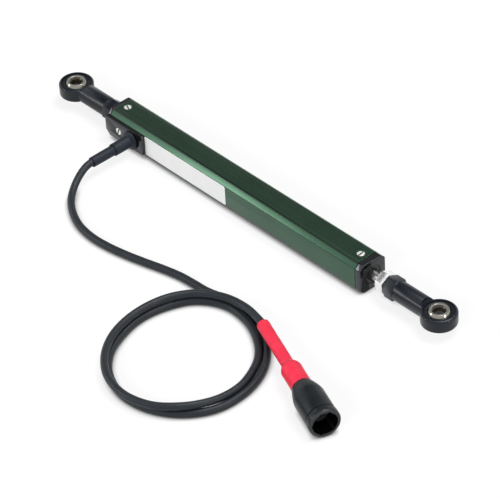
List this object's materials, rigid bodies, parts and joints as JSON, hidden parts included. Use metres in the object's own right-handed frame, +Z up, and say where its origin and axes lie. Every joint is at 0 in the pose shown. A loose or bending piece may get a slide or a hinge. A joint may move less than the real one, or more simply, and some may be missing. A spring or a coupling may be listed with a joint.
{
  "type": "linear potentiometer",
  "caption": "Linear potentiometer: square green aluminium body, sliding shaft, swivel rod end at each end, side cable with red sleeve and round connector.",
  "frame": {"origin": "middle of the body underside", "axes": "+X along the body towards the shaft end, -Y the side where the cable leaves, +Z up"},
  "size_m": [0.3326, 0.17, 0.019],
  "materials": {
    "green_anodised": "green anodised, satin",
    "black_anodised": "black anodised, matte",
    "black_steel": "black oxide, matte",
    "black_plastic": "matte",
    "black_rubber": "matte",
    "bright_steel": "bright",
    "chrome": "polished",
    "bronze": "sintered bronze, satin",
    "white_acetal": "natural white",
    "board": "glass-filled laminate, satin",
    "red_shrink": "red, satin",
    "gold": "gold-plated"
  },
  "bodies": {
    "base": {"body_extrusion": "green_anodised", "cable": "black_rubber", "cable_exit_plate": "black_anodised", "cable_gland": "black_rubber", "connector_contact_1": "gold", "connector_contact_2": "gold", "connector_contact_3": "gold", "connector_insert": "black_plastic", "connector_shell": "black_plastic", "front_bottom_cap_screw": "bright_steel", "front_end_cap": "black_anodised", "front_stop_buffer": "black_rubber", "front_top_cap_screw": "bright_steel", "gland_sleeve": "black_rubber", "ground_wire": "black_plastic", "heat_shrink_sleeve": "red_shrink", "plate_screw": "bright_steel", "rear_bottom_cap_screw": "bright_steel", "rear_end_cap": "black_anodised", "rear_lock_nut": "black_steel", "rear_rod_end_housing": "black_steel", "rear_rod_end_race": "black_steel", "rear_stop_buffer": "black_rubber", "rear_stud": "black_steel", "rear_top_cap_screw": "bright_steel", "resistive_track": "board", "shaft_bush": "bronze", "shaft_wiper_seal": "black_rubber", "signal_wire": "white_acetal", "supply_wire": "red_shrink", "terminal_header": "white_acetal"},
    "carriage": {"wiper_carriage": "white_acetal", "wiper_contacts": "gold"},
    "shaft": {"actuator_shaft": "bright_steel", "shaft_retaining_clip": "bright_steel", "front_lock_nut": "bright_steel", "front_rod_end_housing": "black_steel", "front_rod_end_race": "black_steel"},
    "front_ball": {"front_rod_end_ball": "chrome"},
    "rear_ball": {"rear_rod_end_ball": "chrome"}
  },
  "joints": [
    {"name": "stroke", "type": "slide", "parent": "base", "child": "carriage", "axis": [1, 0, 0], "range_m": [0, 0.152]},
    {"name": "shaft_turn", "type": "hinge", "parent": "carriage", "child": "shaft", "pos_m": [0, 0, 0.0095], "axis": [1, 0, 0], "continuous": true},
    {"name": "front_ball_swivel", "type": "hinge", "parent": "shaft", "child": "front_ball", "pos_m": [0.1557, 0, 0.0095], "axis": [1, 0, 0], "range_deg": [-15, 15]},
    {"name": "rear_ball_swivel", "type": "hinge", "parent": "base", "child": "rear_ball", "pos_m": [-0.1452, 0, 0.0095], "axis": [1, 0, 0], "range_deg": [-15, 15]}
  ]
}
